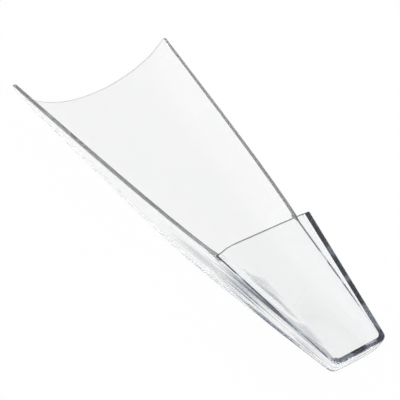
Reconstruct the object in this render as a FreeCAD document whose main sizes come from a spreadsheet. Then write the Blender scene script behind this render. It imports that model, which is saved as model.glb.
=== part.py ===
import FreeCAD, Part
import Sketcher
import math
import os

# Clear hand scoop for ice: a tapered trough whose rear part is closed by a flat cover, which
# makes a hollow handle that is open towards the trough. Two mouldings are bonded on the line
# of the rims.
#
# Both pieces are drawn in the handle's frame: +X towards the mouth, +Z up, the top of the
# cover in the plane Z = 0 and the cover's front edge at X = 0. Their Placement then tips
# them until the flat land under the trough lies on Z = 0, with its middle at the origin.

doc = FreeCAD.newDocument("ice_scoop")
dims = doc.addObject("Spreadsheet::Sheet", "Dims")

SIZES = [
    # places along the scoop
    ("mouth_reach", 163.4),          # cover's front edge to the mouth
    ("rim_lead", 3.8),               # cover's front edge to where the rims start
    ("handle_length", 77.6),         # cover's front edge to the closed end
    ("bend_reach", 13.0),            # half of the stretch that eases the bend of the underside
    # section at the mouth
    ("mouth_half_width", 53.2),
    ("mouth_rim_drop", 42.6),        # rim below the top of the cover
    ("mouth_depth", 34.4),           # rim to underside
    ("mouth_floor_radius", 61.0),
    ("mouth_corner_radius", 26.0),
    ("mouth_lean", 26.0),            # side wall, degrees from upright
    # section at the neck, where the rims meet the cover
    ("neck_half_width", 27.4),
    ("neck_rim_drop", 13.7),
    ("neck_depth", 29.2),
    ("neck_floor_radius", 82.0),
    ("neck_corner_radius", 10.5),
    ("neck_lean", 3.6),
    # section at the closed end
    ("end_half_width", 16.2),
    ("end_rim_drop", 2.4),
    ("end_depth", 11.1),
    ("end_floor_radius", 82.0),
    ("end_corner_radius", 5.2),
    ("end_lean", 4.6),
    # walls
    ("wall", 2.2),
    ("land_cut", 0.25),              # taken off the rounded underside to leave the flat land
    ("cover_wall", 2.3),
    ("end_wall", 2.6),
    ("end_round", 3.0),              # rounding round the closed end
    ("shoulder_radius", 1.6),        # top edges of the cover
    ("roof_radius", 1.2),            # under the cover, along its sides
]
for row, (alias, size) in enumerate(SIZES, start=1):
    dims.set("A%d" % row, alias)
    dims.set("B%d" % row, "%g" % size)
    dims.setAlias("B%d" % row, alias)
doc.recompute()

OVERCUT = 2.0                        # how far a cutting profile stands proud of what it cuts


def dim(alias):
    return "Dims." + alias


def value(expression):
    """The number that an expression over the sheet gives now."""
    result = probe.evalExpression(expression)
    return float(getattr(result, "Value", result))


def mix(near, far, share):
    return "(%s + (%s - %s) * (%s))" % (near, far, near, share)


# ---------------------------------------------------------------- sections

MOUTH_X = dim("mouth_reach")
NECK_X = dim("rim_lead")
END_X = "(-%s)" % dim("handle_length")
BEND = dim("bend_reach")
TROUGH_LENGTH = "(%s - %s)" % (MOUTH_X, NECK_X)
HANDLE_LENGTH = "(%s - %s)" % (NECK_X, END_X)


def station(far, share):
    """A section between the neck and the mouth or the end, in proportion to the distance."""
    length = TROUGH_LENGTH if far == "mouth" else "(-%s)" % HANDLE_LENGTH
    place = {"x": "%s + %s * (%s)" % (NECK_X, length, share)}
    for field in ("half_width", "rim_drop", "depth", "floor_radius", "corner_radius", "lean"):
        place[field] = mix(dim("neck_" + field), dim(far + "_" + field), share)
    return place


def floor_drop(place):
    return "(%s + %s)" % (place["rim_drop"], place["depth"])


fore_bend = station("mouth", "%s / %s" % (BEND, TROUGH_LENGTH))
rear_bend = station("end", "%s / %s" % (BEND, HANDLE_LENGTH))
# At the neck itself the underside runs straight from one side of the bend to the other.
neck = station("mouth", "0")
neck["depth"] = "((%s + %s) / 2 - %s)" % (floor_drop(fore_bend), floor_drop(rear_bend), neck["rim_drop"])
inner_end = station("end", "1 - %s / %s" % (dim("end_wall"), HANDLE_LENGTH))

OUTER_STATIONS = [
    station("mouth", "1"),
    station("mouth", "2 / 3"),
    station("mouth", "1 / 3"),
    fore_bend,
    neck,
    rear_bend,
    station("end", "1"),
]
INNER_STATIONS = OUTER_STATIONS[:-1] + [inner_end]


# ---------------------------------------------------------------- sketching

def mirrored(point):
    return FreeCAD.Vector(-point.x, point.y, 0)


def arc(centre, radius, first, last):
    circle = Part.Circle(centre, FreeCAD.Vector(0, 0, 1), radius)
    return Part.ArcOfCircle(circle, first, last)


def origin_plane(body, role):
    return [feature for feature in body.Origin.OriginFeatures if feature.Role == role][0]


def new_sketch(body, name, role, offset="0"):
    """A sketch in the body on the plane of that role, moved along the plane's normal."""
    sketch = body.newObject("Sketcher::SketchObject", name)
    sketch.AttachmentSupport = [(origin_plane(body, role), "")]
    sketch.MapMode = "FlatFace"
    sketch.AttachmentOffset = FreeCAD.Placement(
        FreeCAD.Vector(0, 0, value(offset)), FreeCAD.Rotation())
    sketch.setExpression("AttachmentOffset.Base.z", offset)
    return sketch


def draw_polygon(sketch, corners):
    """Closed chain of lines through the corners; line n runs from corner n to the next."""
    count = len(corners)
    sketch.addGeometry([Part.LineSegment(corners[side], corners[(side + 1) % count])
                        for side in range(count)], False)
    for side in range(count):
        sketch.addConstraint(Sketcher.Constraint("Coincident", side, 2, (side + 1) % count, 1))


def constrain(sketch, name, expression, *parts):
    """Add a size that follows the sheet."""
    kind = parts[0]
    now = value(expression)
    if kind == "Angle":
        now = math.radians(now)
        expression = "(%s) * 1 deg" % expression
    index = sketch.addConstraint(Sketcher.Constraint(*parts, now))
    sketch.renameConstraint(index, name)
    sketch.setExpression("Constraints." + name, expression)


def tub_section(body, name, place, inset=None):
    """Half-open tub: side walls, corner arcs and one floor arc, closed by a line across its
    top. An inset moves the walls and the floor in and lifts the top clear."""
    shift = inset if inset else "0"
    lift = str(OVERCUT) if inset else "0"
    lean = place["lean"]
    top_half = "(%s - %s / cos(%s * 1 deg) + %s * tan(%s * 1 deg))" % (
        place["half_width"], shift, lean, lift, lean)
    top_drop = "(%s - %s)" % (place["rim_drop"], lift)
    floor_radius = "(%s - %s)" % (place["floor_radius"], shift)
    corner_radius = "(%s - %s)" % (place["corner_radius"], shift)
    centre_rise = "(%s - %s - %s - %s)" % (place["floor_radius"], place["depth"], dim("land_cut"), lift)

    # where everything lies now, for the right-hand half
    big, small = value(floor_radius), value(corner_radius)
    rim = FreeCAD.Vector(value(top_half), -value(top_drop), 0)
    floor_centre = FreeCAD.Vector(0, rim.y + value(centre_rise), 0)
    tilt = math.radians(value(lean))
    down = FreeCAD.Vector(-math.sin(tilt), -math.cos(tilt), 0)
    inward = FreeCAD.Vector(-math.cos(tilt), math.sin(tilt), 0)
    gap = rim + inward * small - floor_centre
    along = gap.dot(down)
    run = -along + math.sqrt(along ** 2 - gap.dot(gap) + (big - small) ** 2)
    corner_centre = rim + inward * small + down * run
    wall_end = corner_centre - inward * small
    spread = (corner_centre - floor_centre).normalize()
    floor_angle = math.atan2(spread.y, spread.x)
    wall_angle = math.atan2(-inward.y, -inward.x)

    sketch = new_sketch(body, name, "YZ_Plane", place["x"])
    sketch.addGeometry([
        Part.LineSegment(mirrored(rim), mirrored(wall_end)),
        arc(mirrored(corner_centre), small, math.pi - wall_angle, math.pi - floor_angle),
        arc(floor_centre, big, math.pi - floor_angle, 2 * math.pi + floor_angle),
        arc(corner_centre, small, floor_angle, wall_angle),
        Part.LineSegment(wall_end, rim),
        Part.LineSegment(rim, mirrored(rim)),
    ], False)
    left_wall, left_corner, floor, right_corner, right_wall, top = range(6)
    chain = [left_wall, left_corner, floor, right_corner, right_wall]
    for first, second in zip(chain[:-1], chain[1:]):
        sketch.addConstraint(Sketcher.Constraint("Tangent", first, 2, second, 1))
    sketch.addConstraint(Sketcher.Constraint("Coincident", right_wall, 2, top, 1))
    sketch.addConstraint(Sketcher.Constraint("Coincident", top, 2, left_wall, 1))
    sketch.addConstraint(Sketcher.Constraint("Symmetric", top, 1, top, 2, -2))
    sketch.addConstraint(Sketcher.Constraint("PointOnObject", floor, 3, -2))
    sketch.addConstraint(Sketcher.Constraint("Equal", left_corner, right_corner))
    constrain(sketch, "corner_radius", corner_radius, "Radius", right_corner)
    constrain(sketch, "floor_radius", floor_radius, "Radius", floor)
    constrain(sketch, "top_half", top_half, "DistanceX", -1, 1, right_wall, 2)
    constrain(sketch, "top_drop", top_drop, "DistanceY", right_wall, 2, -1, 1)
    constrain(sketch, "centre_rise", centre_rise, "DistanceY", right_wall, 2, floor, 3)
    constrain(sketch, "right_lean", "90 - (%s)" % lean, "Angle", right_wall)
    constrain(sketch, "left_lean", "-90 + (%s)" % lean, "Angle", left_wall)
    return sketch


def loft(body, kind, name, sketches):
    feature = body.newObject("PartDesign::" + kind, name)
    feature.Profile = (sketches[0], [""])
    feature.Sections = [(sketch, [""]) for sketch in sketches[1:]]
    feature.Ruled = True
    for sketch in sketches:
        sketch.Visibility = False
    doc.recompute()
    return feature


def near(first, second):
    return abs(first - second) < 1e-4


def edges_where(feature, wanted):
    """Names of a feature's edges whose bounding box passes a test."""
    return ["Edge%d" % number for number, edge in enumerate(feature.Shape.Edges, start=1)
            if wanted(edge.BoundBox)]


def round_edges(body, name, base, edges, radius):
    feature = body.newObject("PartDesign::Fillet", name)
    feature.Base = (base, edges)
    feature.Radius = value(radius)
    feature.setExpression("Radius", radius)
    base.Visibility = False
    doc.recompute()
    return feature


def through_pocket(body, name, sketch):
    """Cut a sketch of the side view right through the piece, both ways from its middle."""
    feature = body.newObject("PartDesign::Pocket", name)
    feature.Profile = (sketch, [""])
    feature.Type = "ThroughAll"
    feature.Midplane = True
    sketch.Visibility = False
    doc.recompute()
    return feature


def plan_outline(body, name, height, front, rear):
    """Four-sided outline seen from above at a height; front and rear are (x, half width)."""
    sketch = new_sketch(body, name, "XY_Plane", height)
    (front_x, front_half), (rear_x, rear_half) = front, rear
    draw_polygon(sketch, [
        FreeCAD.Vector(value(rear_x), -value(rear_half), 0),
        FreeCAD.Vector(value(front_x), -value(front_half), 0),
        FreeCAD.Vector(value(front_x), value(front_half), 0),
        FreeCAD.Vector(value(rear_x), value(rear_half), 0),
    ])
    front_line, rear_line = 1, 3
    sketch.addConstraint(Sketcher.Constraint("Symmetric", front_line, 1, front_line, 2, -1))
    sketch.addConstraint(Sketcher.Constraint("Symmetric", rear_line, 1, rear_line, 2, -1))
    constrain(sketch, "front_x", front_x, "DistanceX", -1, 1, front_line, 2)
    constrain(sketch, "rear_x", "(-%s)" % rear_x, "DistanceX", rear_line, 1, -1, 1)
    constrain(sketch, "front_half", front_half, "DistanceY", -1, 1, front_line, 2)
    constrain(sketch, "rear_half", rear_half, "DistanceY", -1, 1, rear_line, 1)
    return sketch


# ---------------------------------------------------------------- scoop body

body = doc.addObject("PartDesign::Body", "scoop_body")
body.Label = "scoop_body"
probe = body

outer_sections = [tub_section(body, "outer_%d" % number, place)
                  for number, place in enumerate(OUTER_STATIONS)]
tub = loft(body, "AdditiveLoft", "tub", outer_sections)

# The closed end is rounded along its sides and underside; its top edge stays sharp, because
# the cover lies on it.
end_face_x = value(END_X)
end_edges = edges_where(tub, lambda box: near(box.XMin, end_face_x) and near(box.XMax, end_face_x)
                        and box.ZMin < -value(dim("end_rim_drop")) - 0.01)
end_rounding = round_edges(body, "end_rounding", tub, end_edges, dim("end_round"))

# The flat land: what hangs below the line from the neck's underside to the mouth's is cut off.
flat = new_sketch(body, "flat", "XZ_Plane")
mouth_floor = floor_drop(OUTER_STATIONS[0])
neck_floor = "(%s + %s)" % (dim("neck_rim_drop"), dim("neck_depth"))
below = "(%s + %s)" % (mouth_floor, OVERCUT)
draw_polygon(flat, [
    FreeCAD.Vector(value(NECK_X), -value(neck_floor), 0),
    FreeCAD.Vector(value(NECK_X), -value(below), 0),
    FreeCAD.Vector(value(MOUTH_X), -value(below), 0),
    FreeCAD.Vector(value(MOUTH_X), -value(mouth_floor), 0),
])
flat.addConstraint(Sketcher.Constraint("Vertical", 0))
flat.addConstraint(Sketcher.Constraint("Horizontal", 1))
flat.addConstraint(Sketcher.Constraint("Vertical", 2))
constrain(flat, "neck_x", NECK_X, "DistanceX", -1, 1, 0, 1)
constrain(flat, "mouth_x", MOUTH_X, "DistanceX", -1, 1, 2, 1)
constrain(flat, "neck_floor", neck_floor, "DistanceY", 0, 1, -1, 1)
constrain(flat, "mouth_floor", mouth_floor, "DistanceY", 2, 2, -1, 1)
constrain(flat, "below", below, "DistanceY", 1, 1, -1, 1)
land = through_pocket(body, "land", flat)

inner_sections = [tub_section(body, "inner_%d" % number, place, dim("wall"))
                  for number, place in enumerate(INNER_STATIONS)]
hollow = loft(body, "SubtractiveLoft", "hollow", inner_sections)

# ---------------------------------------------------------------- handle cover

cover = doc.addObject("PartDesign::Body", "handle_cover")
cover.Label = "handle_cover"

neck_half, end_half = dim("neck_half_width"), dim("end_half_width")
neck_drop, end_drop = dim("neck_rim_drop"), dim("end_rim_drop")

slab = cover.newObject("PartDesign::Pad", "slab")
slab.Profile = (plan_outline(cover, "outline", "0", (NECK_X, neck_half), (END_X, end_half)), [""])
slab.Length = value(neck_drop)
slab.setExpression("Length", neck_drop)
slab.Reversed = True
doc.recompute()

corner_edges = edges_where(slab, lambda box: near(box.XMax, end_face_x) and box.ZLength > 0.1)
corners = round_edges(cover, "corners", slab, corner_edges, dim("end_round"))
front_face_x = value(NECK_X)
shoulder_edges = edges_where(corners, lambda box: box.ZMin > -0.01 and not near(box.XMin, front_face_x))
shoulders = round_edges(cover, "shoulders", corners, shoulder_edges, dim("shoulder_radius"))

# The hollow under the cover meets the body's hollow at the seam.
neck_inner_half = "(%s - %s / cos(%s * 1 deg))" % (neck_half, dim("wall"), dim("neck_lean"))
rear_inner_half = "(%s - %s / cos(%s * 1 deg))" % (inner_end["half_width"], dim("wall"), inner_end["lean"])
side_slope = "((%s - %s) / (%s - %s))" % (neck_inner_half, rear_inner_half, HANDLE_LENGTH, dim("end_wall"))
hollow_front = ("(%s + %s)" % (NECK_X, OVERCUT), "(%s + %s * %s)" % (neck_inner_half, side_slope, OVERCUT))
hollow_rear = ("(%s + %s)" % (END_X, dim("end_wall")), rear_inner_half)
hollow_outline = plan_outline(cover, "hollow_outline", "(-%s)" % dim("cover_wall"), hollow_front, hollow_rear)
hollow_under = cover.newObject("PartDesign::Pocket", "hollow_under")
hollow_under.Profile = (hollow_outline, [""])
hollow_under.Type = "ThroughAll"
doc.recompute()
roof_z = -value(dim("cover_wall"))
roof_edges = edges_where(hollow_under, lambda box: near(box.ZMin, roof_z) and near(box.ZMax, roof_z)
                         and box.XLength > 1)
roof_rounding = round_edges(cover, "roof_rounding", hollow_under, roof_edges, dim("roof_radius"))

# The seam: from the foot of the front edge straight back to the closed end.
seam = new_sketch(cover, "seam", "XZ_Plane")
under_seam = "(%s + %s)" % (neck_drop, OVERCUT)
behind = "(%s + %s)" % (dim("handle_length"), OVERCUT)
draw_polygon(seam, [
    FreeCAD.Vector(value(NECK_X), -value(neck_drop), 0),
    FreeCAD.Vector(value(END_X), -value(end_drop), 0),
    FreeCAD.Vector(-value(behind), -value(end_drop), 0),
    FreeCAD.Vector(-value(behind), -value(under_seam), 0),
    FreeCAD.Vector(value(NECK_X), -value(under_seam), 0),
])
seam.addConstraint(Sketcher.Constraint("Horizontal", 1))
seam.addConstraint(Sketcher.Constraint("Vertical", 2))
seam.addConstraint(Sketcher.Constraint("Horizontal", 3))
seam.addConstraint(Sketcher.Constraint("Vertical", 4))
constrain(seam, "neck_x", NECK_X, "DistanceX", -1, 1, 0, 1)
constrain(seam, "neck_drop", neck_drop, "DistanceY", 0, 1, -1, 1)
constrain(seam, "end_x", dim("handle_length"), "DistanceX", 0, 2, -1, 1)
constrain(seam, "end_drop", end_drop, "DistanceY", 0, 2, -1, 1)
constrain(seam, "behind", behind, "DistanceX", 2, 1, -1, 1)
constrain(seam, "under_seam", under_seam, "DistanceY", 3, 1, -1, 1)
seam_cut = through_pocket(cover, "seam_cut", seam)

# The front edge slants: from the edge of the flat top it runs forward and down to the rims.
slant = new_sketch(cover, "slant", "XZ_Plane")
ahead = "(%s + %s)" % (NECK_X, OVERCUT)
draw_polygon(slant, [
    FreeCAD.Vector(0, 0, 0),
    FreeCAD.Vector(value(NECK_X), -value(neck_drop), 0),
    FreeCAD.Vector(value(ahead), -value(neck_drop), 0),
    FreeCAD.Vector(value(ahead), OVERCUT, 0),
    FreeCAD.Vector(0, OVERCUT, 0),
])
slant.addConstraint(Sketcher.Constraint("Coincident", 0, 1, -1, 1))
slant.addConstraint(Sketcher.Constraint("Horizontal", 1))
slant.addConstraint(Sketcher.Constraint("Vertical", 2))
slant.addConstraint(Sketcher.Constraint("Horizontal", 3))
slant.addConstraint(Sketcher.Constraint("Vertical", 4))
constrain(slant, "lead", NECK_X, "DistanceX", -1, 1, 0, 2)
constrain(slant, "drop", neck_drop, "DistanceY", 0, 2, -1, 1)
constrain(slant, "ahead", ahead, "DistanceX", -1, 1, 2, 1)
constrain(slant, "above", str(OVERCUT), "DistanceY", -1, 1, 3, 1)
front_slant = through_pocket(cover, "front_slant", slant)

# ---------------------------------------------------------------- standing on the land

floor_slope = "((%s - %s) / %s)" % (mouth_floor, neck_floor, TROUGH_LENGTH)
land_x = "((%s + %s + %s) / 2)" % (MOUTH_X, NECK_X, BEND)
land_drop = "(%s + %s * (%s - %s))" % (neck_floor, floor_slope, land_x, NECK_X)
for piece in (body, cover):
    piece.Placement = FreeCAD.Placement(
        FreeCAD.Vector(0, 0, 0), FreeCAD.Rotation(FreeCAD.Vector(0, -1, 0), value("atan(%s)" % floor_slope)))
    piece.setExpression("Placement.Rotation.Angle", "atan(%s)" % floor_slope)
    piece.setExpression("Placement.Base.x", "-(%s * cos(atan(%s)) + %s * sin(atan(%s)))" % (
        land_x, floor_slope, land_drop, floor_slope))
    piece.setExpression("Placement.Base.z", "%s * cos(atan(%s)) - %s * sin(atan(%s))" % (
        land_drop, floor_slope, land_x, floor_slope))

# ---------------------------------------------------------------- export

doc.recompute()
for item in doc.Objects:
    for word in ("Invalid", "Error"):
        if word in item.State:
            raise RuntimeError("%s is %s" % (item.Name, item.State))
os.makedirs("parts", exist_ok=True)
for piece in (body, cover):
    if piece.Shape.isNull() or not piece.Shape.isValid():
        raise RuntimeError("%s has no valid shape" % piece.Label)
    box = piece.Shape.optimalBoundingBox()
    print(piece.Label, len(piece.Shape.Solids), round(piece.Shape.Volume, 1), box, piece.Placement)
    piece.Shape.exportStep("parts/%s.step" % piece.Label)
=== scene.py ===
import math

import bmesh
import bpy
from mathutils import Matrix, Vector


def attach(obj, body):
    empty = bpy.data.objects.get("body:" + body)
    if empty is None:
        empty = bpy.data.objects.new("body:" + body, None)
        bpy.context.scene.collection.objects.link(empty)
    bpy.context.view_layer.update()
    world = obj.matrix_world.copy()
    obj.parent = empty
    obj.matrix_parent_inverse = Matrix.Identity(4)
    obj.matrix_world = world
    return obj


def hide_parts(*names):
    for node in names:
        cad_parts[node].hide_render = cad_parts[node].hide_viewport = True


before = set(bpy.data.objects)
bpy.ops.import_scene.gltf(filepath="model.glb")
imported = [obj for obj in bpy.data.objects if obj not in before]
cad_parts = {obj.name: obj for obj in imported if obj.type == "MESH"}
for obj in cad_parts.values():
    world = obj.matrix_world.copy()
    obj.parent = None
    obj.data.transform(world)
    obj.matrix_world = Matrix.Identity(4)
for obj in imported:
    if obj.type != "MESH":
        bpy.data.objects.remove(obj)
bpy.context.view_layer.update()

# ---------------------------------------------------------------- sizes, in millimetres
# The scoop is drawn in the handle's frame: +X towards the mouth, +Z up, the top of the cover
# at Z = 0 and its front edge at X = 0. It is then tipped until it stands on its land.

MOUTH_X = 163.4
NECK_X = 3.8            # foot of the cover's slanted front, on the rims
END_X = -77.6
BEND_REACH = 26.0       # how far the underside's bend reaches to each side of the neck
LAND_LEAD = 13.0        # from the neck to the start of the flat land
LAND_CUT = 0.25         # depth by which the rounded underside is flattened there
SIDE_BOW = 1.6          # most that the trough's sides bow outwards
BOW_SKEW = 0.6          # below 1, the widest part of the bow lies nearer the neck

WALL = 2.2
COVER_WALL = 2.3
END_WALL = 2.6

END_ROUND = 3.0         # outside of the closed end
HOLLOW_ROUND = 2.6      # inside of the closed end
SHOULDER = 2.8          # top edges of the cover, at its front
END_SHOULDER = 1.7      # and at the closed end
ROOF_ROUND = 4.5        # under the cover, along its sides, at its front
END_ROOF_ROUND = 1.2    # and at the closed end
SHOULDER_LIMIT = 0.9    # largest share of the cover's side that a shoulder takes
LIP_ROUND = 0.6         # edges of the rims
LIP_FADE = 5.0          # length over which they sharpen towards the neck
LIP_LIMIT = 0.45        # largest share of the rim's thickness that one edge takes
MOUTH_ROUND = 0.4
FRONT_ROUND = 0.8       # front edge of the cover
FRONT_FADE = 3.0        # height above the seam over which it starts
SLANT_FADE = 40.0       # length over which the front's slant dies out

# Half width at the rim, drop of the rim and of the underside, radius of the floor and of its
# corners, and the side wall's lean in degrees.
MOUTH = dict(half=53.2, rim=42.6, base=77.0, floor=61.0, corner=26.0, lean=26.0)
NECK = dict(half=27.4, rim=13.7, base=42.9, floor=82.0, corner=10.5, lean=3.6)
END = dict(half=16.2, rim=2.4, base=13.5, floor=82.0, corner=5.2, lean=4.6)

FORE_SLOPE = (MOUTH["base"] - NECK["base"]) / (MOUTH_X - NECK_X)
REAR_SLOPE = (NECK["base"] - END["base"]) / (NECK_X - END_X)
HOLLOW_END = END_X + END_WALL

# faces along each part of a section, and along the scoop
WALL_STEPS = 6
CORNER_STEPS = 14
FLOOR_STEPS = 16
SIDE_STEPS = 5
SHOULDER_STEPS = 8
LIP_STEPS = 4
ROUND_STEPS = 6
TROUGH_STEPS = 28
HANDLE_STEPS = 20


def mix(near, far, share):
    return near + (far - near) * share


def spread_between(first, last, count):
    """Evenly spaced numbers from the first to the last, both included."""
    return [mix(first, last, step / count) for step in range(count + 1)]


# ---------------------------------------------------------------- sections

def place_at(x):
    """Sizes of the section at x. They change in proportion to the distance from the neck, but
    the trough's sides bow outwards and the underside turns up in a long soft bend."""
    if x >= NECK_X:
        far, share = MOUTH, (x - NECK_X) / (MOUTH_X - NECK_X)
    else:
        far, share = END, (NECK_X - x) / (NECK_X - END_X)
    place = {key: mix(NECK[key], far[key], share) for key in NECK}
    if x > NECK_X:
        place["half"] += SIDE_BOW * math.sin(math.pi * share ** BOW_SKEW)
    reach = x - NECK_X
    if abs(reach) < BEND_REACH:
        ahead = (reach + BEND_REACH) / (2 * BEND_REACH)
        start = NECK["base"] - REAR_SLOPE * BEND_REACH
        turn = (FORE_SLOPE - REAR_SLOPE) * BEND_REACH
        place["base"] = start + 2 * REAR_SLOPE * BEND_REACH * ahead + turn * ahead ** 2
    return place


def on_angle(centre, radius, angle):
    return centre + radius * Vector((math.cos(angle), math.sin(angle)))


def tub_half(place, inset, lower=0.0, lip=0.0):
    """The rim's corner, and the (y, z) points from just below it down to the middle of the
    floor. An inset moves the wall in; the rim can lie lower and leave room for a round lip."""
    lean = math.radians(place["lean"])
    down = Vector((-math.sin(lean), -math.cos(lean)))
    inward = Vector((-math.cos(lean), math.sin(lean)))
    rim = Vector((place["half"] - inset / math.cos(lean), -place["rim"]))
    floor_r = place["floor"] - inset
    corner_r = place["corner"] - inset
    floor_centre = Vector((0.0, -(place["base"] + LAND_CUT) + place["floor"]))
    gap = rim + inward * corner_r - floor_centre
    along = gap.dot(down)
    run = -along + math.sqrt(along ** 2 - gap.length_squared + (floor_r - corner_r) ** 2)
    corner_centre = rim + inward * corner_r + down * run
    wall_end = corner_centre - inward * corner_r
    spread = (corner_centre - floor_centre).normalized()
    floor_angle = math.atan2(spread.y, spread.x)
    wall_angle = math.atan2(-inward.y, -inward.x)
    corner = rim + down * (lower / math.cos(lean))
    wall_start = corner + down * lip
    points = [wall_start.lerp(wall_end, step / WALL_STEPS) for step in range(WALL_STEPS)]
    points += [on_angle(corner_centre, corner_r, angle)
               for angle in spread_between(wall_angle, floor_angle, CORNER_STEPS)[:-1]]
    points += [on_angle(floor_centre, floor_r, angle)
               for angle in spread_between(floor_angle, -math.pi / 2, FLOOR_STEPS)]
    return corner, points


def both_sides(x, half):
    """From the point on +Y round to its mirror image on -Y; the last point is on the axis."""
    return [(x, p.x, p.y) for p in half] + [(x, -p.x, p.y) for p in reversed(half[:-1])]


def land_drop(x):
    return NECK["base"] + FORE_SLOPE * (x - NECK_X)


def outer_tub(x, inset=0.0, lower=0.0, lip=0.0):
    """Outside of the tub at x. In the trough nothing hangs below the flat land."""
    corner, half = tub_half(place_at(x), inset, lower, lip)
    if x > NECK_X:
        for point in half:
            point.y = max(point.y, inset - land_drop(x))
    return corner, both_sides(x, half)


def inner_tub(x, inset, lower=0.0, lip=0.0):
    corner, half = tub_half(place_at(x), inset, lower, lip)
    return corner, both_sides(x, half)


def bend_round(start, control, end):
    """Points of a soft corner, its two ends included."""
    return [start.lerp(control, share).lerp(control.lerp(end, share), share)
            for share in spread_between(0.0, 1.0, LIP_STEPS)]


def trough_ring(x, inset):
    """Closed section of the open trough: outside, one lip, inside, the other lip."""
    lip = LIP_ROUND * min(1.0, (x - NECK_X) / LIP_FADE)
    outer_corner, outer = outer_tub(x, inset, inset, lip)
    inner_corner, inner = inner_tub(x, WALL - inset, inset, lip)
    lip = min(lip, LIP_LIMIT * (outer_corner.x - inner_corner.x))
    step_in = Vector((lip, 0.0))
    outside = Vector(outer[0][1:])
    inside = Vector(inner[0][1:])
    crest = (bend_round(outside, outer_corner, outer_corner - step_in)
             + bend_round(inner_corner + step_in, inner_corner, inside))
    return (outer + [(x, -p.x, p.y) for p in crest] + inner[::-1]
            + [(x, p.x, p.y) for p in reversed(crest)])


# ---------------------------------------------------------------- cover

def along_handle(x):
    """0 at the neck, 1 at the closed end."""
    return (NECK_X - x) / (NECK_X - END_X)


def seam_drop(x):
    return mix(NECK["rim"], END["rim"], along_handle(x))


def rounding(x, end, radius):
    """How far a corner of that radius, ending at x = end, has come in at x."""
    left = max(radius - (x - end), 0.0)
    return radius - math.sqrt(max(radius ** 2 - left ** 2, 0.0))


def shoulder(x):
    return mix(SHOULDER, END_SHOULDER, along_handle(x))


def roof_round(x):
    return mix(ROOF_ROUND, END_ROOF_ROUND, along_handle(x))


def plan_half(x, inset):
    """Half width of the seam at x, moved in."""
    share = along_handle(x)
    lean = math.radians(mix(NECK["lean"], END["lean"], share))
    return mix(NECK["half"], END["half"], share) - inset / math.cos(lean)


def cover_loop(seam_x, inset, roof, radius, end, end_round, end_drop, edge):
    """One row over the cover, from the seam on +Y over the roof to the seam on -Y. The front
    edge slants, so higher points lie further back; edge pulls the row in round the front."""
    seam_z = -seam_drop(seam_x)
    slant = NECK_X / NECK["rim"] * max(0.0, 1 - (NECK_X - seam_x) / SLANT_FADE)
    top_z = -roof - rounding(seam_x, end, end_drop)
    radius = min(radius, SHOULDER_LIMIT * (top_z - seam_z))
    side_top = top_z - radius
    levels = [(seam_z + (side_top - seam_z) * step / SIDE_STEPS, 0.0) for step in range(SIDE_STEPS)]
    for step in range(SHOULDER_STEPS + 1):
        angle = math.pi / 2 * step / SHOULDER_STEPS
        pulled = radius * (1 - math.cos(angle))
        levels.append((side_top + radius * math.sin(angle), pulled))
    row = []
    for z, pulled in levels:
        rise = z - seam_z
        pull = edge * min(1.0, rise / FRONT_FADE)
        x = seam_x - slant * rise
        side = plan_half(x, inset + rounding(x, end, end_round)) - pulled - pull
        sunk = pull * (z - side_top) / radius if pulled else 0.0
        row.append((x, side, z - sunk))
    return row + [(x, -y, z) for x, y, z in reversed(row)]


# ---------------------------------------------------------------- meshes

PLASTIC = 0
BOND = 1
# the third material slot holds painted shade: dark grey haze on the rims' edges and the cover's front
PAINTED_EDGE_SHADE = 2
MERGE = 1e-3            # points closer than this are one
SMOOTH_ANGLE = math.radians(34)
LAND_X = (MOUTH_X + NECK_X + LAND_LEAD) / 2
TILT = Matrix.Rotation(-math.atan(FORE_SLOPE), 4, "Y")
LAND_POINT = TILT @ Vector((LAND_X, 0.0, -land_drop(LAND_X)))
MILLIMETRE = 0.001
TO_FRAME = Matrix.Scale(MILLIMETRE, 4) @ Matrix.Translation(-LAND_POINT) @ TILT


def add_rows(mesh, rows, material=PLASTIC):
    """Quads between successive rows of points."""
    grid = [[mesh.verts.new(point) for point in row] for row in rows]
    for near_row, far_row in zip(grid, grid[1:]):
        for k in range(len(near_row) - 1):
            face = mesh.faces.new((near_row[k], near_row[k + 1], far_row[k + 1], far_row[k]))
            face.material_index = material


def add_face(mesh, points, material=PLASTIC):
    face = mesh.faces.new([mesh.verts.new(point) for point in points])
    face.material_index = material


def cleaned(points):
    """The outline without points that fall together."""
    kept = []
    for point in points:
        if not kept or (Vector(point) - Vector(kept[-1])).length > MERGE:
            kept.append(point)
    if (Vector(kept[0]) - Vector(kept[-1])).length <= MERGE:
        kept.pop()
    return kept


def add_seam(mesh, outer, inner, shared):
    """The face where the two pieces meet: strips along both sides, joined over the end wall.
    outer and inner are rows of (left, right) ends; the first ones lie at the same places."""
    for k in range(shared - 1):
        for side in (0, 1):
            near, far = outer[k][side], outer[k + 1][side]
            add_face(mesh, [near, far, inner[k + 1][side], inner[k][side]], BOND)
    outer_run, inner_run = outer[shared - 1:], inner[shared - 1:]
    outline = [left for left, right in outer_run] + [right for left, right in reversed(outer_run)]
    outline += [right for left, right in inner_run] + [left for left, right in reversed(inner_run)]
    add_face(mesh, cleaned(outline), BOND)


def row_ends(rows):
    return [(row[0], row[-1]) for row in rows]


def finish_piece(mesh, name, materials, nodes):
    bmesh.ops.remove_doubles(mesh, verts=mesh.verts, dist=MERGE)
    bmesh.ops.dissolve_degenerate(mesh, edges=mesh.edges, dist=MERGE)
    bmesh.ops.recalc_face_normals(mesh, faces=mesh.faces)
    mesh.transform(TO_FRAME)
    data = bpy.data.meshes.new(name)
    mesh.to_mesh(data)
    mesh.free()
    for material in materials:
        data.materials.append(material)
    data.polygons.foreach_set("use_smooth", [True] * len(data.polygons))
    data.set_sharp_from_angle(angle=SMOOTH_ANGLE)
    piece = bpy.data.objects.new(name, data)
    bpy.context.scene.collection.objects.link(piece)
    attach(piece, "root")
    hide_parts(*nodes)


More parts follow.
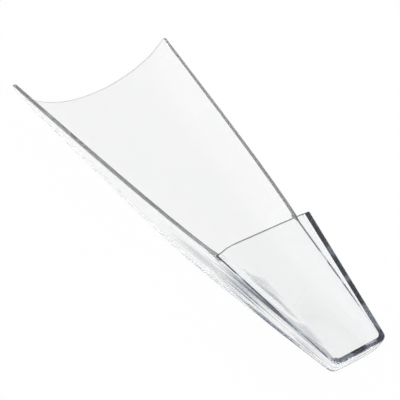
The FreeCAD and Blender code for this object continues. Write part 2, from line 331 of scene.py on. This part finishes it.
def rounded_back(end, radius, inset, steps):
    """(x, inset) of the sections round the back corner of a closed end."""
    return [(end + radius * (1 - math.sin(angle)), inset + radius * (1 - math.cos(angle)))
            for angle in spread_between(0.0, math.pi / 2, steps)]


def rounded_front(end, radius):
    """(x, inset) of the sections round a front edge."""
    return [(end - radius * (1 - math.cos(angle)), radius * (1 - math.sin(angle)))
            for angle in spread_between(0.0, math.pi / 2, ROUND_STEPS)]


HOLLOW_BACK = rounded_back(HOLLOW_END, HOLLOW_ROUND, WALL, ROUND_STEPS)
OUTER_BACK = rounded_back(END_X, END_ROUND, 0.0, 2 * ROUND_STEPS)


def build_body():
    mesh = bmesh.new()
    trough = rounded_front(MOUTH_X, MOUTH_ROUND)
    trough += [(x, 0.0) for x in spread_between(MOUTH_X - MOUTH_ROUND, NECK_X, TROUGH_STEPS)[1:]]
    rings = [trough_ring(x, inset) for x, inset in trough]
    add_rows(mesh, [ring + ring[:1] for ring in rings])
    edge = rings[0]
    crest_start = len(outer_tub(MOUTH_X)[1])
    inner_start = crest_start + 2 * (LIP_STEPS + 1)
    inner_stop = inner_start + crest_start
    # the mouth's end face takes the painted edge shade
    add_rows(mesh, [edge[:crest_start], edge[inner_start:inner_stop][::-1]], PAINTED_EDGE_SHADE)
    add_face(mesh, cleaned(edge[crest_start:inner_start]))
    add_face(mesh, cleaned(edge[inner_stop:]))

    xs = spread_between(NECK_X, HOLLOW_END + HOLLOW_ROUND, HANDLE_STEPS)
    outer_rows = [outer_tub(x, inset)[1] for x, inset in [(x, 0.0) for x in xs] + OUTER_BACK]
    inner_rows = [inner_tub(x, inset)[1] for x, inset in [(x, WALL) for x in xs] + HOLLOW_BACK]
    add_rows(mesh, outer_rows)
    add_rows(mesh, inner_rows)
    add_face(mesh, outer_rows[-1])
    add_face(mesh, inner_rows[-1])
    add_seam(mesh, row_ends(outer_rows), row_ends(inner_rows), len(xs))
    return mesh


def build_cover():
    mesh = bmesh.new()
    back = HOLLOW_END + HOLLOW_ROUND
    xs = rounded_front(NECK_X, FRONT_ROUND)
    xs += [(x, 0.0) for x in spread_between(NECK_X - FRONT_ROUND, back, HANDLE_STEPS)[1:]]
    outer_rows = [cover_loop(x, 0.0, 0.0, shoulder(x), END_X, END_ROUND, END_SHOULDER, edge)
                  for x, edge in xs + [(x, 0.0) for x, _ in OUTER_BACK]]
    inner_rows = [cover_loop(x, WALL, COVER_WALL, roof_round(x), HOLLOW_END, HOLLOW_ROUND, 0.0, -edge)
                  for x, edge in xs + [(x, 0.0) for x, _ in HOLLOW_BACK]]
    # the cover's rounded front edge and its front face take the painted edge shade
    add_rows(mesh, outer_rows[:ROUND_STEPS + 1], PAINTED_EDGE_SHADE)
    add_rows(mesh, outer_rows[ROUND_STEPS:])
    add_rows(mesh, inner_rows)
    add_rows(mesh, [outer_rows[0], inner_rows[0]], PAINTED_EDGE_SHADE)
    add_face(mesh, cleaned(outer_rows[-1]))
    add_face(mesh, cleaned(inner_rows[-1]))
    add_seam(mesh, row_ends(outer_rows), row_ends(inner_rows), len(xs))
    return mesh


# ---------------------------------------------------------------- materials, in metres

NOISE_LOW = 0.35        # most of a noise lies between these two
NOISE_HIGH = 0.65
# painted shade: streaks of grey haze on the +Y side wall, shaped by the values below
SHADE_STREAK_SCALE = (9.0, 60.0, 260.0)
SHADE_STREAK_TURN = math.radians(-6)
SHADE_STREAK_NOISE = (0.51, 0.60)     # where a streak starts and where it is full
SHADE_STREAK_STEEPNESS = (0.9, 0.6)   # the same for the upward part of the wall's direction
SHADE_STREAK_SIDE = (-0.004, 0.006)   # the same across the scoop
SHADE_STREAK_FADE = 0.05              # the same along it
BOND_SCALE = (60.0, 130.0, 1.0)
BOND_PATCH = (0.4, 0.62)
PLASTIC_IOR = 1.49
ROUGHEST = 0.02
BUMP_STRENGTH = 0.2
BUMP_DEPTH = 0.00004
CLEAR = ((0.994, 0.995, 0.995), (0.999, 0.999, 0.999))
SHADOW = (0.96, 0.965, 0.97, 1.0)
HAZE_DEPTH = 0.7        # how far the palest haze goes from white towards its tint
BOND_DARK = (0.18, 0.21, 0.28)
BOND_PALE = (0.72, 0.76, 0.81)


def new_material(name):
    material = bpy.data.materials.new(name)
    material.use_nodes = True
    tree = material.node_tree
    tree.nodes.clear()
    return material, tree, tree.nodes.new("ShaderNodeOutputMaterial")


def noise(tree, scale, detail):
    """Fine unevenness that is fixed to the object."""
    place = tree.nodes.new("ShaderNodeTexCoord")
    texture = tree.nodes.new("ShaderNodeTexNoise")
    texture.inputs["Scale"].default_value = scale
    texture.inputs["Detail"].default_value = detail
    tree.links.new(place.outputs["Object"], texture.inputs["Vector"])
    return texture.outputs["Fac"]


def ranged(tree, factor, low, high):
    """The noise turned into numbers from low to high."""
    span = tree.nodes.new("ShaderNodeMapRange")
    span.inputs["From Min"].default_value = NOISE_LOW
    span.inputs["From Max"].default_value = NOISE_HIGH
    span.inputs["To Min"].default_value = low
    span.inputs["To Max"].default_value = high
    tree.links.new(factor, span.inputs["Value"])
    return span.outputs["Result"]


def ramp(tree, factor, low, high, start=NOISE_LOW, stop=NOISE_HIGH):
    """Colours from low at the start to high at the stop."""
    colours = tree.nodes.new("ShaderNodeValToRGB")
    first, last = colours.color_ramp.elements
    first.position = start
    last.position = stop
    first.color = (*low, 1.0)
    last.color = (*high, 1.0)
    tree.links.new(factor, colours.inputs["Fac"])
    return colours.outputs["Color"]


def math_node(tree, operation, first, second):
    node = tree.nodes.new("ShaderNodeMath")
    node.operation = operation
    for socket, value in zip(node.inputs, (first, second)):
        if isinstance(value, float):
            socket.default_value = value
        else:
            tree.links.new(value, socket)
    return node.outputs["Value"]


def faded(tree, factor, low, high):
    """0 at low, 1 at high, and held beyond them."""
    fade = tree.nodes.new("ShaderNodeMapRange")
    fade.inputs["From Min"].default_value = low
    fade.inputs["From Max"].default_value = high
    tree.links.new(factor, fade.inputs["Value"])
    return fade.outputs["Result"]


def stretched_noise(tree, scale, turn=0.0):
    """Noise that is drawn out along the axes and fixed to the object."""
    place = tree.nodes.new("ShaderNodeTexCoord")
    stretch = tree.nodes.new("ShaderNodeMapping")
    stretch.inputs["Scale"].default_value = scale
    stretch.inputs["Rotation"].default_value = (0.0, turn, 0.0)
    tree.links.new(place.outputs["Object"], stretch.inputs["Vector"])
    texture = tree.nodes.new("ShaderNodeTexNoise")
    texture.inputs["Scale"].default_value = 1.0
    texture.inputs["Detail"].default_value = 2.0
    tree.links.new(stretch.outputs["Vector"], texture.inputs["Vector"])
    return texture.outputs["Fac"]


def separated(tree, vector):
    split = tree.nodes.new("ShaderNodeSeparateXYZ")
    tree.links.new(vector, split.inputs["Vector"])
    return split.outputs


def painted_shade_streaks(tree, bare_x):
    """Streaks of painted shade along the side wall on +Y, which stand for the fine lines seen in it.
    They fade out forward of bare_x and where the wall turns level."""
    place = separated(tree, tree.nodes.new("ShaderNodeTexCoord").outputs["Object"])
    normal = separated(tree, tree.nodes.new("ShaderNodeNewGeometry").outputs["Normal"])
    shade_streaks = faded(tree, stretched_noise(tree, SHADE_STREAK_SCALE, SHADE_STREAK_TURN), *SHADE_STREAK_NOISE)
    steep = faded(tree, math_node(tree, "ABSOLUTE", normal["Z"], 0.0), *SHADE_STREAK_STEEPNESS)
    rear = faded(tree, place["X"], bare_x, bare_x - SHADE_STREAK_FADE)
    near_side = faded(tree, place["Y"], *SHADE_STREAK_SIDE)
    share = math_node(tree, "MULTIPLY", math_node(tree, "MULTIPLY", steep, rear), near_side)
    return math_node(tree, "MULTIPLY", shade_streaks, share)


def scattering(tree, tint):
    """Haze that lets light through in all directions, in places paler than its tint."""
    scatter = tree.nodes.new("ShaderNodeBsdfTranslucent")
    pale = [mix(1.0, level, HAZE_DEPTH) for level in tint]
    colour = ramp(tree, noise(tree, scale=40.0, detail=2.0), tint, pale)
    tree.links.new(colour, scatter.inputs["Color"])
    return scatter.outputs["BSDF"]


def mixed(tree, factor, first, second):
    both = tree.nodes.new("ShaderNodeMixShader")
    if isinstance(factor, float):
        both.inputs["Fac"].default_value = factor
    else:
        tree.links.new(factor, both.inputs["Fac"])
    tree.links.new(first, both.inputs[1])
    tree.links.new(second, both.inputs[2])
    return both.outputs["Shader"]


def clear_plastic(name, haze, tint, shade_streaks=0.0, bare_x=0.0, shade_streak_tint=None):
    """Clear plastic with a share of tinted haze, so that its edges read grey and not black, and,
    where a share of them is given, with lines of painted shade made of more haze."""
    material, tree, output = new_material(name)
    plastic = tree.nodes.new("ShaderNodeBsdfPrincipled")
    plastic.inputs["Transmission Weight"].default_value = 1.0
    plastic.inputs["IOR"].default_value = PLASTIC_IOR
    clear = ramp(tree, noise(tree, scale=25.0, detail=2.0), *CLEAR)
    tree.links.new(clear, plastic.inputs["Base Color"])
    rough = ranged(tree, noise(tree, scale=900.0, detail=3.0), 0.0, ROUGHEST)
    tree.links.new(rough, plastic.inputs["Roughness"])
    bump = tree.nodes.new("ShaderNodeBump")
    bump.inputs["Strength"].default_value = BUMP_STRENGTH
    bump.inputs["Distance"].default_value = BUMP_DEPTH
    tree.links.new(noise(tree, scale=45.0, detail=1.0), bump.inputs["Height"])
    tree.links.new(bump.outputs["Normal"], plastic.inputs["Normal"])
    wall = mixed(tree, haze, plastic.outputs["BSDF"], scattering(tree, tint))
    # painted shade: streaks of tinted haze along the side wall
    if shade_streaks:
        share = math_node(tree, "MULTIPLY", painted_shade_streaks(tree, bare_x), shade_streaks)
        wall = mixed(tree, share, wall, scattering(tree, shade_streak_tint))
    shadow = tree.nodes.new("ShaderNodeBsdfTransparent")
    shadow.inputs["Color"].default_value = SHADOW
    path = tree.nodes.new("ShaderNodeLightPath")
    surface = mixed(tree, path.outputs["Is Shadow Ray"], wall, shadow.outputs["BSDF"])
    tree.links.new(surface, output.inputs["Surface"])
    return material


def bond_line(name):
    """The face where the two pieces meet. Its dark patches stand for the dark parts seen along
    the handle's sides and round its end."""
    material, tree, output = new_material(name)
    seen = tree.nodes.new("ShaderNodeBsdfTransparent")
    patches = faded(tree, stretched_noise(tree, BOND_SCALE), *BOND_PATCH)
    tree.links.new(ramp(tree, patches, BOND_DARK, BOND_PALE), seen.inputs["Color"])
    tree.links.new(seen.outputs["BSDF"], output.inputs["Surface"])
    return material


bond = bond_line("bond")
# the streak tints given here are painted shade: dark on the body, pale grey on the cover
body_plastic = clear_plastic("clear_body_plastic", haze=0.08, tint=(0.97, 0.98, 0.99),
                             shade_streaks=0.85, bare_x=-0.06, shade_streak_tint=(0.35, 0.39, 0.45))
cover_plastic = clear_plastic("clear_cover_plastic", haze=0.025, tint=(0.50, 0.58, 0.70),
                              shade_streaks=0.7, bare_x=-0.05, shade_streak_tint=(0.90, 0.92, 0.95))
# painted shade: dark grey haze on the edge faces, which stands for the grey lines seen at the mouth
# and along the cover's front
painted_edge_shade = clear_plastic("painted_edge_shade", haze=0.8, tint=(0.20, 0.22, 0.25))

body_materials = (body_plastic, bond, painted_edge_shade)
cover_materials = (cover_plastic, bond, painted_edge_shade)
finish_piece(build_body(), "trough_and_tub", body_materials, ["scoop_body"])
finish_piece(build_cover(), "handle_top", cover_materials, ["handle_cover"])

# ---------------------------------------------------------------- floor and light

FLOOR_HALF = 3.0
FLOOR_Z = -0.0005
FLOOR_WHITE = 0.96      # share of plain white in the floor where it is seen
PAPER = ((0.93, 0.93, 0.93), (0.95, 0.95, 0.95))
WHITE = (1.0, 1.0, 1.0)
OVERHEAD = (0.94, 0.95, 0.96)
WHITE_BELOW = 0.15      # heights of the sky between which its colour changes
OVERHEAD_FROM = 0.9


def plane(name, half, height, material):
    data = bpy.data.meshes.new(name)
    corners = [(x * half, y * half, height) for x, y in ((-1, -1), (1, -1), (1, 1), (-1, 1))]
    data.from_pydata(corners, [], [(0, 1, 2, 3)])
    data.materials.append(material)
    floor = bpy.data.objects.new(name, data)
    bpy.context.scene.collection.objects.link(floor)


def seen_directly(tree):
    """1 for what the camera sees, by itself, mirrored in the plastic or through it."""
    path = tree.nodes.new("ShaderNodeLightPath")
    total = path.outputs["Is Camera Ray"]
    for output in ("Is Glossy Ray", "Is Transmission Ray"):
        total = math_node(tree, "MAXIMUM", total, path.outputs[output])
    return total


def white_floor():
    """White where it is seen, with the scoop's faint shadow left on it."""
    material, tree, output = new_material("floor_white")
    paper = tree.nodes.new("ShaderNodeBsdfDiffuse")
    shade = ramp(tree, noise(tree, scale=3.0, detail=2.0), *PAPER)
    tree.links.new(shade, paper.inputs["Color"])
    white = tree.nodes.new("ShaderNodeEmission")
    white.inputs["Strength"].default_value = 1.0
    share = math_node(tree, "MULTIPLY", seen_directly(tree), FLOOR_WHITE)
    surface = mixed(tree, share, paper.outputs["BSDF"], white.outputs["Emission"])
    tree.links.new(surface, output.inputs["Surface"])
    return material


plane("floor", FLOOR_HALF, FLOOR_Z, white_floor())

world = bpy.data.worlds.new("studio")
bpy.context.scene.world = world
world.use_nodes = True
sky = world.node_tree
sky.nodes.clear()
sky_output = sky.nodes.new("ShaderNodeOutputWorld")
direction = sky.nodes.new("ShaderNodeTexCoord")
height = separated(sky, direction.outputs["Generated"])["Z"]
light = sky.nodes.new("ShaderNodeBackground")
light.inputs["Strength"].default_value = 1.0
daylight = ramp(sky, height, WHITE, OVERHEAD, WHITE_BELOW, OVERHEAD_FROM)
sky.links.new(daylight, light.inputs["Color"])
background = sky.nodes.new("ShaderNodeBackground")
background.inputs["Color"].default_value = (*WHITE, 1.0)
by_eye = sky.nodes.new("ShaderNodeLightPath").outputs["Is Camera Ray"]
sky_light = mixed(sky, by_eye, light.outputs["Background"], background.outputs["Background"])
sky.links.new(sky_light, sky_output.inputs["Surface"])

# ---------------------------------------------------------------- camera

bpy.context.scene.view_settings.view_transform = "Standard"
camera = bpy.data.objects.new("camera", bpy.data.cameras.new("camera"))
camera.data.lens = 99.0
camera.data.sensor_width = 36.0
camera.data.clip_end = 20.0
camera.data.shift_x = -0.0012
camera.data.shift_y = -0.0012
# columns: the camera's right, its up, its back and its place in metres
camera.matrix_world = Matrix((
    (-0.58221, 0.60325, -0.54509, -0.373147),
    (-0.80390, -0.32688, 0.49688, 0.298204),
    (0.12156, 0.72749, 0.67527, 0.420215),
    (0.0, 0.0, 0.0, 1.0)))
bpy.context.scene.collection.objects.link(camera)
bpy.context.scene.camera = camera
